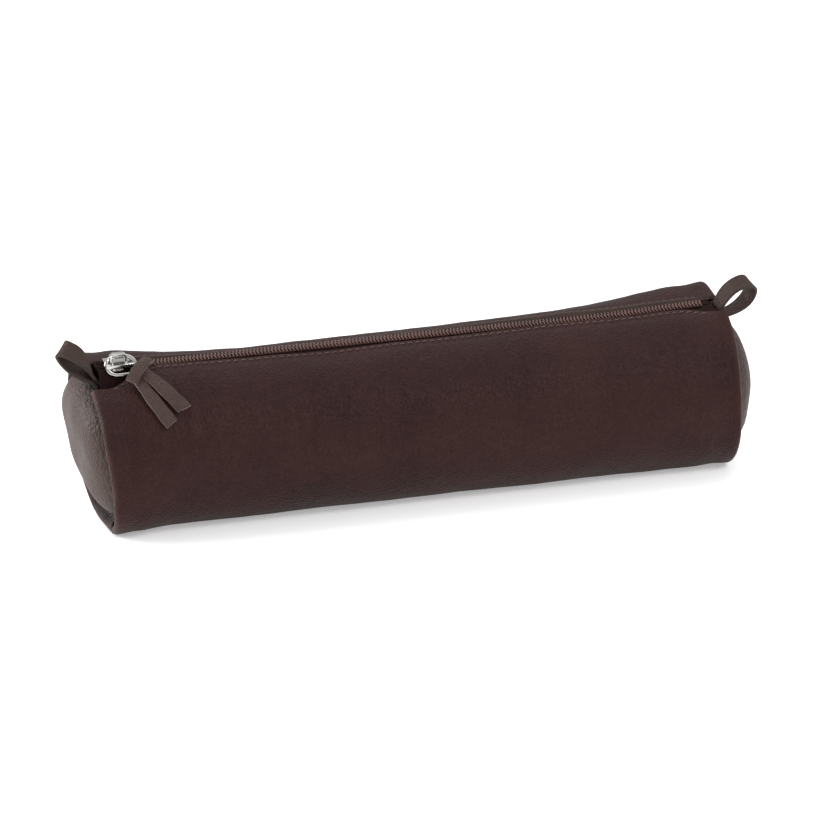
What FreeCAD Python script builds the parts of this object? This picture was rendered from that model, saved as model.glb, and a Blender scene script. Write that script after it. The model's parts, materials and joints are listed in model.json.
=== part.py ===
"""Zipped leather brush case: a stuffed round tube with set-in ends, a coil zip on top and two loops.

Frame: X along the case, -Y the front, +Z up, origin on the table under the middle of the case.
The zip leans a little to the front, so its pieces are drawn in a zip frame: origin on the
case's long axis, its own z out through the middle of the zip. Millimetres throughout.
"""
import FreeCAD, Part
import math
import os

import Sketcher
from FreeCAD import Placement, Rotation, Vector

doc = FreeCAD.newDocument("BrushCase")
sheet = doc.addObject("Spreadsheet::Sheet", "dims")

SIZES = {
    # the leather tube
    "case_length": 220,
    "case_radius": 29,
    "rest_width": 20,
    "leather": 1.3,
    # the wrap's ends, rolled in and hemmed round the end panels
    "hem_gap": 0.4,
    "hem_depth": 6,
    # the end panels
    "panel_leather": 1.3,
    "panel_rise": 7,
    "panel_inset": 3,
    "panel_flange": 3.4,
    "panel_clearance": 0.1,
    # the mouth and the two lips beside it
    "zip_tilt": 10,
    "mouth_gap": 7.4,
    "lip_length": 190,
    "lip_gap": 0.3,
    # zip tapes and coil
    "tape_length": 207,
    "tape_width": 12,
    "tape_thickness": 0.5,
    "tape_edge": 0.3,
    "tape_clearance": 0.1,
    "coil_width": 2.2,
    "coil_height": 1.5,
    "coil_seat": 0.05,
    "tooth_pitch": 1.2,
    "tooth_reach": 0.55,
    "tooth_clearance": 0.06,
    # slider
    "slider_length": 9.4,
    "slider_width": 6.8,
    "slider_tail": 5.6,
    "slider_plate": 0.9,
    "slider_clearance": 0.15,
    "slider_end_gap": 0.3,
    "rail_width": 0.7,
    "slider_waist": 0.9,
    "wedge_length": 2.5,
    "wedge_width": 1.9,
    "wedge_shoulder": 0.8,
    "wedge_tip": 0.4,
    "bridge_length": 5.6,
    "bridge_width": 2.2,
    "bridge_metal": 0.9,
    "bridge_room": 1.9,
    "bridge_set": 0.2,
    # pull ring
    "ring_wire": 1.2,
    "ring_width": 7.9,
    "ring_length": 10.9,
    "ring_clearance": 0.1,
    # leather pull: a hitch round the ring with two tails that lie on the front
    "hitch_length": 4.2,
    "hitch_width": 2.4,
    "hitch_height": 3.2,
    "hitch_clearance": 0.3,
    "tail_start": 2.9,
    "strap_leather": 1.0,
    "strap_width": 4.8,
    "strap_lift": 1.2,
    "upper_tail_run": 10.6,
    "upper_tail_drop": 19.6,
    "lower_tail_run": 4.4,
    "lower_tail_drop": 23.4,
    # hanging loops
    "loop_ribbon": 6.6,
    "loop_leather": 1.1,
    "loop_stem": 2.6,
    "loop_set": 3.7,
    "loop_split": 0.6,
    "loop_sunk": 0.5,
    "stem_overlap": 0.8,
    "left_loop_reach": 12.5,
    "left_loop_round": 4.7,
    "left_loop_lean": 38,
    "right_loop_reach": 9.5,
    "right_loop_round": 5.6,
    "right_loop_lean": 42,
    # sewing
    "thread": 0.36,
    "thread_seat": 0.05,
    "stitch_pitch": 2.57,
    "stitch_length": 1.9,
    "stitch_set": 1.2,
    "seam_set": 4.6,
}

for row, (alias, size) in enumerate(SIZES.items(), start=1):
    sheet.set(f"A{row}", alias)
    sheet.set(f"B{row}", str(size))
    sheet.setAlias(f"B{row}", alias)
doc.recompute()

# lengths that several pieces share, written once as expressions on the sheet
CENTRE = "sqrt(dims.case_radius ^ 2 - (dims.rest_width / 2) ^ 2)"
HEM_STACK = "(2 * dims.leather + dims.hem_gap)"
PANEL_RIM = f"({HEM_STACK} + dims.panel_clearance)"
TAPE_TOP = "(dims.case_radius - dims.leather - dims.tape_clearance)"
TAPE_UNDER = f"({TAPE_TOP} - dims.tape_thickness)"
COIL_BASE = f"({TAPE_TOP} + dims.coil_seat)"
COIL_TOP = f"({COIL_BASE} + dims.coil_height)"
PLATE_BASE = f"({COIL_TOP} + dims.slider_clearance)"
PLATE_TOP = f"({PLATE_BASE} + dims.slider_plate)"
CLOSED_AT = "(dims.slider_end_gap + dims.slider_length / 2 - dims.tape_length / 2)"
BRIDGE_SHIFT = "(-dims.bridge_set)"
RING_AT = f"({CLOSED_AT} + {BRIDGE_SHIFT})"
RING_HEIGHT = f"({PLATE_TOP} + dims.ring_clearance + dims.ring_wire / 2)"
RING_BEND = "((dims.ring_width - dims.ring_wire) / 2)"
RING_REACH = "(dims.ring_length - dims.ring_wire)"
STRAP_UNDER = "(dims.case_radius + dims.strap_lift)"
WELL_PAST = "(2 * dims.case_radius)"


def value(expression):
    """The number that an expression on the sheet has now."""
    return float(sheet.evalExpression(expression))


def named(obj, label):
    obj.Label = label
    return obj


def place(obj, x="0", z=CENTRE, tilt="0"):
    """Ties an object's place to the sheet: along the case, above the table and leaning with the zip."""
    obj.Placement = Placement(Vector(0, 0, 0), Rotation(Vector(1, 0, 0), 1))
    obj.setExpression("Placement.Base.x", x)
    obj.setExpression("Placement.Base.z", z)
    obj.setExpression("Placement.Rotation.Angle", tilt)
    return obj


def on_zip(obj, x="0"):
    return place(obj, x, CENTRE, "dims.zip_tilt")


# ---------------------------------------------------------------- sketches
def new_sketch(body, name, plane, shift=("0", "0", "0"), turn="0"):
    """A sketch on one of the body's own planes, moved (x, y, z) and turned in that plane by expressions."""
    sketch = body.newObject("Sketcher::SketchObject", name)
    planes = {feature.Role: feature for feature in body.Origin.OriginFeatures}
    sketch.AttachmentSupport = [(planes[plane], "")]
    sketch.MapMode = "FlatFace"
    sketch.AttachmentOffset = Placement(Vector(0, 0, 0), Rotation(Vector(0, 0, 1), 1))
    for axis, distance in zip("xyz", shift):
        sketch.setExpression(f"AttachmentOffset.Base.{axis}", distance)
    sketch.setExpression("AttachmentOffset.Rotation.Angle", turn)
    return sketch


def tie(sketch, kind, geometry, vertex, expression):
    """Holds a vertex at a distance from the sketch's origin, or a radius, that the sheet gives."""
    if kind == "Radius":
        constraint = Sketcher.Constraint(kind, geometry, value(expression))
    else:
        constraint = Sketcher.Constraint(kind, -1, 1, geometry, vertex, value(expression))
    index = sketch.addConstraint(constraint)
    sketch.setExpression(f"Constraints[{index}]", expression)


def join(sketch, first, first_end, second, second_end):
    sketch.addConstraint(Sketcher.Constraint("Coincident", first, first_end, second, second_end))


def polygon(sketch, corners):
    """A closed outline of straight lines, each corner held by its two coordinates."""
    points = [Vector(value(x), value(y), 0) for x, y in corners]
    lines = []
    for start, end in zip(points, points[1:] + points[:1]):
        lines.append(sketch.addGeometry(Part.LineSegment(start, end), False))
    for line, following, (x, y) in zip(lines, lines[1:] + lines[:1], corners):
        join(sketch, line, 2, following, 1)
        tie(sketch, "DistanceX", line, 1, x)
        tie(sketch, "DistanceY", line, 1, y)


def rectangle(sketch, x_low, x_high, y_low, y_high):
    polygon(sketch, [(x_low, y_low), (x_high, y_low), (x_high, y_high), (x_low, y_high)])


def arc_on(sketch, centre_height, radius, start_angle, end_angle):
    """An arc whose centre sits on the sketch's vertical axis. Returns its geometry number."""
    circle = Part.Circle(Vector(0, value(centre_height), 0), Vector(0, 0, 1), value(radius))
    arc = sketch.addGeometry(Part.ArcOfCircle(circle, start_angle, end_angle), False)
    tie(sketch, "DistanceX", arc, 3, "0")
    tie(sketch, "DistanceY", arc, 3, centre_height)
    tie(sketch, "Radius", arc, None, radius)
    return arc


def link_ends(sketch, first, first_end, second, second_end, direction):
    """A straight line from one arc's end to another's, held level or upright."""
    start = sketch.getPoint(first, first_end)
    end = sketch.getPoint(second, second_end)
    line = sketch.addGeometry(Part.LineSegment(start, end), False)
    join(sketch, line, 1, first, first_end)
    join(sketch, line, 2, second, second_end)
    sketch.addConstraint(Sketcher.Constraint(direction, line))
    return line


def case_outline(sketch, inset):
    """The case's section, drawn in from its outer face by inset: a circle with a flat where it rests."""
    radius = f"(dims.case_radius - {inset})"
    half_flat = math.acos((value(CENTRE) - value(inset)) / value(radius))
    down = -math.pi / 2
    arc = arc_on(sketch, CENTRE, radius, down + half_flat, down + 2 * math.pi - half_flat)
    flat = link_ends(sketch, arc, 2, arc, 1, "Horizontal")
    tie(sketch, "DistanceY", flat, 1, inset)


# ---------------------------------------------------------------- features
def pad(body, sketch, length, symmetric=False, reverse=False):
    feature = body.newObject("PartDesign::Pad", "Pad")
    feature.Profile = sketch
    feature.setExpression("Length", length)
    feature.SideType = "Symmetric" if symmetric else "One side"
    feature.Reversed = reverse
    doc.recompute()
    return feature


def pocket(body, sketch, symmetric=False, reverse=False):
    """Cuts a sketch right through the body, and stops the build if that takes nothing away."""
    before = body.Shape.Volume
    feature = body.newObject("PartDesign::Pocket", "Pocket")
    feature.Profile = sketch
    feature.Type = "ThroughAll"
    feature.SideType = "Symmetric" if symmetric else "One side"
    feature.Reversed = reverse
    doc.recompute()
    if body.Shape.Volume >= before - 1e-6:
        raise RuntimeError(f"{body.Label}: {sketch.Name} cuts nothing")
    return feature


def new_body(label):
    return named(doc.addObject("PartDesign::Body", label), label)


def mouth_cut(body, low, high):
    """Cuts a slot along the whole case, between two distances from the zip's middle plane."""
    sketch = new_sketch(body, "mouth", "YZ_Plane", ("0", CENTRE, "0"), "dims.zip_tilt")
    rectangle(sketch, low, high, "0", WELL_PAST)
    return pocket(body, sketch, symmetric=True)


# ---------------------------------------------------------------- leather wrap and its lips
def make_body_wrap():
    """One piece of leather rolled into a tube, its ends turned in and hemmed.

    The long window over the upper half is where the two lips, the same leather, swing open.
    """
    body = new_body("body_wrap")
    tube = new_sketch(body, "tube", "YZ_Plane")
    case_outline(tube, "0")
    case_outline(tube, "dims.leather")
    pad(body, tube, "dims.case_length", symmetric=True)
    for side in (-1, 1):
        end_at = ("0", "0", f"{side} * dims.case_length / 2")
        rim = new_sketch(body, "rim", "YZ_Plane", end_at)
        case_outline(rim, "0")
        case_outline(rim, HEM_STACK)
        pad(body, rim, "dims.leather", reverse=side > 0)
        hem = new_sketch(body, "hem", "YZ_Plane", end_at)
        case_outline(hem, "(dims.leather + dims.hem_gap)")
        case_outline(hem, HEM_STACK)
        pad(body, hem, "dims.hem_depth", reverse=side > 0)
    window = new_sketch(body, "window", "XY_Plane", ("0", "0", CENTRE))
    half = "(dims.lip_length / 2 + dims.lip_gap)"
    rectangle(window, f"-{half}", half, f"-{WELL_PAST}", WELL_PAST)
    pocket(body, window, reverse=True)
    mouth_cut(body, "-dims.mouth_gap / 2", "dims.mouth_gap / 2")
    return body


def make_lip(label, side):
    """The wrap's top margin on one side of the zip, from the side of the case up to its edge by the coil."""
    body = new_body(label)
    half = new_sketch(body, "section", "YZ_Plane")
    rise = math.asin(value("dims.lip_gap / dims.case_radius"))
    outer = arc_on(half, CENTRE, "dims.case_radius", rise, math.pi - rise)
    inner = arc_on(half, CENTRE, "(dims.case_radius - dims.leather)", rise, math.pi - rise)
    link_ends(half, outer, 1, inner, 1, "Horizontal")
    left = link_ends(half, outer, 2, inner, 2, "Horizontal")
    half.addConstraint(Sketcher.Constraint("Horizontal", outer, 1, outer, 2))
    tie(half, "DistanceY", left, 1, f"({CENTRE} + dims.lip_gap)")
    pad(body, half, "dims.lip_length", symmetric=True)
    if side < 0:
        mouth_side = ("-dims.mouth_gap / 2", WELL_PAST)
    else:
        mouth_side = (f"-{WELL_PAST}", "dims.mouth_gap / 2")
    sketch = new_sketch(body, "mouth", "YZ_Plane", ("0", CENTRE, "0"), "dims.zip_tilt")
    rectangle(sketch, *mouth_side, f"-{WELL_PAST}", WELL_PAST)
    pocket(body, sketch, symmetric=True)
    return body


# ---------------------------------------------------------------- end panels
def prism(name, inset, side):
    """A straight bar of the case's section, from the panel's flange out past its dome."""
    sketch = doc.addObject("Sketcher::SketchObject", f"{name}_outline")
    case_outline(sketch, inset)
    sketch.Placement = Placement(Vector(0, 0, 0), Rotation(Vector(1, 1, 1), 120))
    start = "(dims.case_length / 2 - dims.panel_inset - dims.panel_flange)"
    sketch.setExpression("Placement.Base.x", f"{side} * {start}")
    bar = doc.addObject("Part::Extrusion", name)
    bar.Base = sketch
    bar.DirMode = "Custom"
    bar.Dir = Vector(side, 0, 0)
    bar.Solid = True
    bar.setExpression("LengthFwd", "dims.panel_flange + dims.panel_rise + dims.panel_inset")
    return bar


def make_end_panel(label, side):
    """A leather disc stuffed to a dome, its edge turned in as a flange inside the wrap's hem."""
    rim = f"(dims.case_radius - {PANEL_RIM})"
    ball_radius = f"(({rim} ^ 2 + dims.panel_rise ^ 2) / (2 * dims.panel_rise))"
    skins = []
    for name, thinner in (("outside", "0"), ("inside", "dims.panel_leather")):
        bar = prism(f"{label}_{name}_bar", f"({PANEL_RIM} + {thinner})", side)
        ball = doc.addObject("Part::Sphere", f"{label}_{name}_ball")
        ball.setExpression("Radius", f"{ball_radius} - {thinner}")
        apex = "(dims.case_length / 2 - dims.panel_inset + dims.panel_rise)"
        place(ball, f"{side} * ({apex} - {ball_radius})")
        skin = doc.addObject("Part::Common", f"{label}_{name}")
        skin.Base = bar
        skin.Tool = ball
        skins.append(skin)
    panel = doc.addObject("Part::Cut", label)
    panel.Base, panel.Tool = skins
    return named(panel, label)


# ---------------------------------------------------------------- zip
def make_zip_tape(label, side):
    """One woven tape of the zip, sewn under its lip; its closed end parts round the slider's wedge."""
    body = on_zip(new_body(label))
    sketch = new_sketch(body, "section", "YZ_Plane")
    near = value("dims.tape_edge")
    far = value("dims.tape_width")
    arcs = []
    for radius in (TAPE_TOP, TAPE_UNDER):
        angles = [math.acos(side * edge / value(radius)) for edge in (near, far)]
        arcs.append(arc_on(sketch, "0", radius, min(angles), max(angles)))
    near_end, far_end = (2, 1) if side > 0 else (1, 2)
    outer, inner = arcs
    near_line = link_ends(sketch, outer, near_end, inner, near_end, "Vertical")
    far_line = link_ends(sketch, outer, far_end, inner, far_end, "Vertical")
    tie(sketch, "DistanceX", near_line, 1, f"{side} * dims.tape_edge")
    tie(sketch, "DistanceX", far_line, 1, f"{side} * dims.tape_width")
    pad(body, sketch, "dims.tape_length", symmetric=True)
    notch = new_sketch(body, "notch", "XY_Plane")
    wedge_end = f"({CLOSED_AT} - dims.slider_length / 2 + dims.wedge_length + dims.slider_end_gap)"
    half = "(dims.wedge_width / 2 + dims.slider_end_gap)"
    rectangle(notch, "-dims.tape_length", wedge_end, f"-{half}", half)
    pocket(body, notch, reverse=True)
    return body


def make_coil(label, side):
    """Half of the coil: a row of teeth that interlock with the other half's, a pitch apart."""
    pitch = value("dims.tooth_pitch")
    gap = value("dims.tooth_clearance")
    reach = value("dims.tooth_reach")
    back = value("dims.coil_width")
    start = value(f"{CLOSED_AT} - dims.slider_length / 2 + dims.wedge_length + dims.slider_end_gap")
    end = value("dims.tape_length / 2")
    first_tooth = 0 if side < 0 else pitch / 2
    root = reach + gap
    corners = [(start, back), (start, root)]
    count = int((end - start - first_tooth) / pitch)
    for tooth in range(count):
        tooth_start = start + first_tooth + tooth * pitch + gap
        tooth_end = tooth_start + pitch / 2 - 2 * gap
        corners += [(tooth_start, root), (tooth_start, -reach), (tooth_end, -reach), (tooth_end, root)]
    corners += [(end, root), (end, back)]
    base = value(COIL_BASE)
    outline = Part.makePolygon([Vector(x, side * y, base) for x, y in corners + corners[:1]])
    coil = doc.addObject("Part::Feature", label)
    coil.Shape = Part.Face(outline).extrude(Vector(0, 0, value("dims.coil_height")))
    return on_zip(named(coil, label))


def make_slider():
    """Cast slider: two plates joined by a wedge at the shoulder end, rails over the coil, a bridge on top."""
    body = on_zip(new_body("slider_body"), CLOSED_AT)
    nose = "(-dims.slider_length / 2)"
    tail = "(dims.slider_length / 2)"
    waist = "dims.slider_waist"
    wide = "(dims.slider_width / 2)"
    slim = "(dims.slider_tail / 2)"
    under_top = f"({TAPE_UNDER} - 2 * dims.slider_clearance)"
    plan = [(nose, f"-{wide}"), (waist, f"-{wide}"), (tail, f"-{slim}"),
            (tail, slim), (waist, wide), (nose, wide)]
    under = new_sketch(body, "under_plate", "XY_Plane", ("0", "0", under_top))
    polygon(under, plan)
    pad(body, under, "dims.slider_plate", reverse=True)
    wedge = new_sketch(body, "wedge", "XY_Plane", ("0", "0", under_top))
    wedge_end = f"({nose} + dims.wedge_length)"
    shoulder = f"({nose} + dims.wedge_shoulder)"
    half = "(dims.wedge_width / 2)"
    tip = "(dims.wedge_tip / 2)"
    polygon(wedge, [(nose, f"-{half} / 2"), (shoulder, f"-{half}"), (wedge_end, f"-{tip}"),
                    (wedge_end, tip), (shoulder, half), (nose, f"{half} / 2")])
    pad(body, wedge, f"{PLATE_BASE} - {under_top}")
    top = new_sketch(body, "top_plate", "XY_Plane", ("0", "0", PLATE_BASE))
    polygon(top, plan)
    pad(body, top, "dims.slider_plate")
    for side in (-1, 1):
        rail = new_sketch(body, "rail", "XY_Plane", ("0", "0", PLATE_BASE))
        inner = f"({side} * ({wide} - dims.rail_width))"
        outer = f"({side} * {wide})"
        low, high = (outer, inner) if side < 0 else (inner, outer)
        rectangle(rail, nose, waist, low, high)
        rail_drop = f"({PLATE_BASE} - {TAPE_TOP} - dims.slider_clearance)"
        pad(body, rail, rail_drop, reverse=True)
    bridge = new_sketch(body, "bridge", "XZ_Plane")
    left = f"({BRIDGE_SHIFT} - dims.bridge_length / 2)"
    right = f"({BRIDGE_SHIFT} + dims.bridge_length / 2)"
    crown = f"({PLATE_TOP} + dims.bridge_room + dims.bridge_metal)"
    room = f"({PLATE_TOP} + dims.bridge_room)"
    foot = f"({PLATE_TOP} - dims.slider_plate / 2)"
    chamfer = "dims.bridge_metal"
    polygon(bridge, [(left, foot), (left, f"{crown} - {chamfer}"), (f"{left} + {chamfer}", crown),
                     (f"{right} - {chamfer}", crown), (right, f"{crown} - {chamfer}"), (right, foot),
                     (f"{right} - dims.bridge_metal", foot), (f"{right} - dims.bridge_metal", room),
                     (f"{left} + dims.bridge_metal", room), (f"{left} + dims.bridge_metal", foot)])
    pad(body, bridge, "dims.bridge_width", symmetric=True)
    return body


# ---------------------------------------------------------------- pull
def ring_pieces(name, wire_radius):
    """Two half rings and two straight sides of the oval pull ring, from the wire under the bridge."""
    pieces = []
    for end, centre, turn in (("near", RING_BEND, 90), ("far", f"({RING_REACH} - {RING_BEND})", -90)):
        bend = doc.addObject("Part::Torus", f"{name}_{end}")
        bend.Angle3 = 180
        bend.setExpression("Radius1", RING_BEND)
        bend.setExpression("Radius2", wire_radius)
        tilt = Rotation(Vector(1, 0, 0), value("dims.zip_tilt"))
        bend.Placement = Placement(Vector(), tilt * Rotation(Vector(0, 0, 1), turn))
        bend.setExpression("Placement.Base.x", f"{RING_AT} + {centre}")
        bend.setExpression("Placement.Base.y", f"-{RING_HEIGHT} * sin(dims.zip_tilt)")
        bend.setExpression("Placement.Base.z", f"{CENTRE} + {RING_HEIGHT} * cos(dims.zip_tilt)")
        pieces.append(bend)
    for side in (-1, 1):
        rod = doc.addObject("Part::Cylinder", f"{name}_side")
        rod.setExpression("Radius", wire_radius)
        rod.setExpression("Height", f"{RING_REACH} - 2 * {RING_BEND}")
        rod.Placement = Placement(Vector(), Rotation(Vector(0, 1, 0), 90))
        out = f"({side} * {RING_BEND})"
        rod.setExpression("Placement.Base.x", f"{RING_AT} + {RING_BEND}")
        y = f"{out} * cos(dims.zip_tilt) - {RING_HEIGHT} * sin(dims.zip_tilt)"
        z = f"{CENTRE} + {out} * sin(dims.zip_tilt) + {RING_HEIGHT} * cos(dims.zip_tilt)"
        rod.setExpression("Placement.Base.y", y)
        rod.setExpression("Placement.Base.z", z)
        pieces.append(rod)
    ring = doc.addObject("Part::MultiFuse", name)
    ring.Shapes = pieces
    return ring


def make_pull_ring():
    """Oval ring of plated wire that turns under the slider's bridge."""
    return named(ring_pieces("pull_ring", "dims.ring_wire / 2"), "pull_ring")


def hitch_profile(sketch):
    """The hitch seen along its turning axis: a bar whose left end is round about the ring's wire."""
    round_end = arc_on(sketch, RING_HEIGHT, "dims.hitch_height / 2", math.pi / 2, 3 * math.pi / 2)
    top = sketch.getPoint(round_end, 1)
    low = sketch.getPoint(round_end, 2)
    reach = Vector(value("dims.hitch_length"), 0, 0)
    over = sketch.addGeometry(Part.LineSegment(top, top + reach), False)
    end = sketch.addGeometry(Part.LineSegment(top + reach, low + reach), False)
    under = sketch.addGeometry(Part.LineSegment(low + reach, low), False)
    join(sketch, round_end, 1, over, 1)
    join(sketch, over, 2, end, 1)
    join(sketch, end, 2, under, 1)
    join(sketch, under, 2, round_end, 2)
    for line, direction in ((over, "Horizontal"), (end, "Vertical"), (under, "Horizontal")):
        sketch.addConstraint(Sketcher.Constraint(direction, line))
    tie(sketch, "DistanceX", over, 1, "0")
    tie(sketch, "DistanceX", end, 1, "dims.hitch_length")


def make_pull_strap():
    """Leather thong hitched round the ring's far end, its two tails curving down over the front."""
    pivot = f"({RING_AT} + {RING_REACH})"
    knot = on_zip(new_body("hitch"), pivot)
    sketch = new_sketch(knot, "hitch_side", "XZ_Plane")
    hitch_profile(sketch)
    pad(knot, sketch, "dims.hitch_width", symmetric=True)
    shell = []
    for name, radius in (("strap_over", f"{STRAP_UNDER} + dims.strap_leather"), ("strap_under", STRAP_UNDER)):
        drum = doc.addObject("Part::Cylinder", name)
        drum.setExpression("Radius", radius)
        drum.setExpression("Height", "dims.case_length")
        drum.Placement = Placement(Vector(), Rotation(Vector(0, 1, 0), 90))
        drum.setExpression("Placement.Base.x", "-dims.case_length / 2")
        drum.setExpression("Placement.Base.z", CENTRE)
        shell.append(drum)
    tails = on_zip(new_body("tails"), pivot)
    for run, drop in (("dims.upper_tail_run", "dims.upper_tail_drop"),
                      ("dims.lower_tail_run", "dims.lower_tail_drop")):
        length = f"sqrt(({run}) ^ 2 + ({drop}) ^ 2)"
        across_x = f"(dims.strap_width / 2 * {drop} / {length})"
        across_y = f"(dims.strap_width / 2 * {run} / {length})"
        plan = new_sketch(tails, "tail_plan", "XY_Plane")
        left = f"(dims.tail_start - {across_x})"
        right = f"(dims.tail_start + {across_x})"
        polygon(plan, [(left, f"-{across_y}"), (f"{left} + {run}", f"-{drop} - {across_y}"),
                       (f"{right} + {run}", f"-{drop} + {across_y}"), (right, across_y)])
        pad(tails, plan, WELL_PAST)
    sheet_ring = doc.addObject("Part::Cut", "strap_sheet")
    sheet_ring.Base, sheet_ring.Tool = shell
    curved = doc.addObject("Part::Common", "curved_tails")
    curved.Base = sheet_ring
    curved.Tool = tails
    whole = doc.addObject("Part::Fuse", "solid_strap")
    whole.Base = knot
    whole.Tool = curved
    strap = doc.addObject("Part::Cut", "pull_strap")
    strap.Base = whole
    strap.Tool = ring_pieces("ring_room", "dims.ring_wire / 2 + dims.hitch_clearance")
    return named(strap, "pull_strap")


# ---------------------------------------------------------------- loops
def teardrop(sketch, half_foot, foot, reach, radius):
    """A closed drop: a round head at the given reach and tangent lines down to a foot or a point."""
    head = value(reach)
    bend = value(radius)
    start = value(half_foot) if half_foot else 0.0
    low = value(foot)
    lean = math.asin(bend / math.hypot(head - low, start)) - math.atan2(start, head - low)
    right = Vector(bend * math.cos(lean), head - bend * math.sin(lean), 0)
    left = Vector(-right.x, right.y, 0)
    arc = arc_on(sketch, reach, radius, -lean, math.pi + lean)
    right_leg = sketch.addGeometry(Part.LineSegment(Vector(start, low, 0), right), False)
    left_leg = sketch.addGeometry(Part.LineSegment(Vector(-start, low, 0), left), False)
    sketch.addConstraint(Sketcher.Constraint("Tangent", right_leg, 2, arc, 1))
    sketch.addConstraint(Sketcher.Constraint("Tangent", left_leg, 2, arc, 2))
    tie(sketch, "DistanceX", right_leg, 1, half_foot or "0")
    tie(sketch, "DistanceY", right_leg, 1, foot)
    if half_foot:
        bottom = sketch.addGeometry(Part.LineSegment(Vector(start, low, 0), Vector(-start, low, 0)), False)
        join(sketch, bottom, 1, right_leg, 1)
        join(sketch, bottom, 2, left_leg, 1)
        tie(sketch, "DistanceX", left_leg, 1, f"-{half_foot}")
        tie(sketch, "DistanceY", left_leg, 1, foot)
    else:
        join(sketch, left_leg, 1, right_leg, 1)


def make_loop(label, side, prefix):
    """A strip of leather folded into a hanging loop, both ends caught in the end seam by the zip."""
    reach = f"dims.{prefix}_loop_reach"
    radius = f"dims.{prefix}_loop_round"
    lean = f"({-side} * dims.{prefix}_loop_lean)"
    body = on_zip(new_body(label), f"{side} * (dims.case_length / 2 - dims.loop_set)")
    surface = "(dims.case_radius - dims.loop_sunk)"
    stem = new_sketch(body, "stem", "XZ_Plane")
    stem_foot = f"(dims.case_radius - {HEM_STACK} + dims.lip_gap)"
    rectangle(stem, "-dims.loop_stem / 2", "dims.loop_stem / 2", stem_foot, f"{surface} + dims.stem_overlap")
    pad(body, stem, "dims.loop_ribbon", symmetric=True)
    head = new_sketch(body, "head", "XZ_Plane", ("0", surface, "0"), lean)
    teardrop(head, "(dims.loop_stem / 2)", "0", reach, radius)
    pad(body, head, "dims.loop_ribbon", symmetric=True)
    hole = new_sketch(body, "hole", "XZ_Plane", ("0", surface, "0"), lean)
    teardrop(hole, None, "dims.loop_split", reach, f"({radius} - dims.loop_leather)")
    pocket(body, hole, symmetric=True)
    return body


# ---------------------------------------------------------------- sewing
def stitch(middle, along):
    """One visible stitch: a short round length of thread."""
    length = value("dims.stitch_length")
    radius = value("dims.thread / 2")
    return Part.makeCylinder(radius, length, middle - along * (length / 2), along)


def make_topstitch(label, side):
    """The row of stitches that holds a zip tape to its lip, lying on the leather beside its edge."""
    pitch = value("dims.stitch_pitch")
    out = value("dims.mouth_gap / 2 + dims.stitch_set")
    radius = value("dims.case_radius + dims.thread_seat + dims.thread / 2")
    height = math.sqrt(radius ** 2 - out ** 2)
    count = int((value("dims.lip_length") - pitch) / pitch)
    first = -pitch * (count - 1) / 2
    row = [stitch(Vector(first + k * pitch, side * out, height), Vector(1, 0, 0)) for k in range(count)]
    thread = doc.addObject("Part::Feature", label)
    thread.Shape = Part.makeCompound(row)
    return on_zip(named(thread, label))


def make_seam_stitches(label, side):
    """The stitches inside an end seam, on the panel's flange, all the way round the end."""
    inset = value(f"{PANEL_RIM} + dims.panel_leather + dims.thread_seat + dims.thread / 2")
    radius = value("dims.case_radius") - inset
    centre = value(CENTRE)
    pitch = value("dims.stitch_pitch")
    x = side * value("dims.case_length / 2 - dims.seam_set")
    half_flat = math.acos((centre - inset) / radius)
    turn = 2 * math.pi - 2 * half_flat
    count = int(turn * radius / pitch)
    ring = []
    for k in range(count):
        angle = half_flat + turn * (k + 0.5) / count
        middle = Vector(x, radius * math.sin(angle), centre - radius * math.cos(angle))
        ring.append(stitch(middle, Vector(0, math.cos(angle), math.sin(angle))))
    flat = radius * math.sin(half_flat)
    flat_count = int(2 * flat / pitch)
    for k in range(flat_count):
        y = pitch * (k - (flat_count - 1) / 2)
        ring.append(stitch(Vector(x, y, inset), Vector(0, 1, 0)))
    thread = doc.addObject("Part::Feature", label)
    thread.Shape = Part.makeCompound(ring)
    return named(thread, label)


# ---------------------------------------------------------------- the whole case
pieces = [
    make_body_wrap(),
    make_lip("front_lip", -1),
    make_lip("back_lip", 1),
    make_end_panel("end_panel_left", -1),
    make_end_panel("end_panel_right", 1),
    make_zip_tape("front_zip_tape", -1),
    make_zip_tape("back_zip_tape", 1),
    make_coil("front_coil", -1),
    make_coil("back_coil", 1),
    make_slider(),
    make_pull_ring(),
    make_pull_strap(),
    make_loop("loop_left", -1, "left"),
    make_loop("loop_right", 1, "right"),
    make_topstitch("front_topstitch", -1),
    make_topstitch("back_topstitch", 1),
    make_seam_stitches("left_seam_stitches", -1),
    make_seam_stitches("right_seam_stitches", 1),
]
doc.recompute()

for obj in doc.Objects:
    if "Invalid" in obj.State or "Error" in obj.State:
        raise RuntimeError(f"{obj.Label} failed: {obj.State}")
for piece in pieces:
    if piece.Shape.isNull() or not piece.Shape.isValid():
        raise RuntimeError(f"{piece.Label} has no valid shape")

os.makedirs("parts", exist_ok=True)
for piece in pieces:
    piece.Shape.exportStep(f"parts/{piece.Label}.step")
    box = piece.Shape.BoundBox
    print(f"{piece.Label:20s} {len(piece.Shape.Solids):3d} solids {piece.Shape.Volume:10.2f} mm3",
          f"x {box.XMin:.1f} {box.XMax:.1f} y {box.YMin:.1f} {box.YMax:.1f} z {box.ZMin:.1f} {box.ZMax:.1f}")
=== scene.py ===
import bpy
import json
import math

import numpy as np
from mathutils import Matrix, Vector, noise


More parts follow.
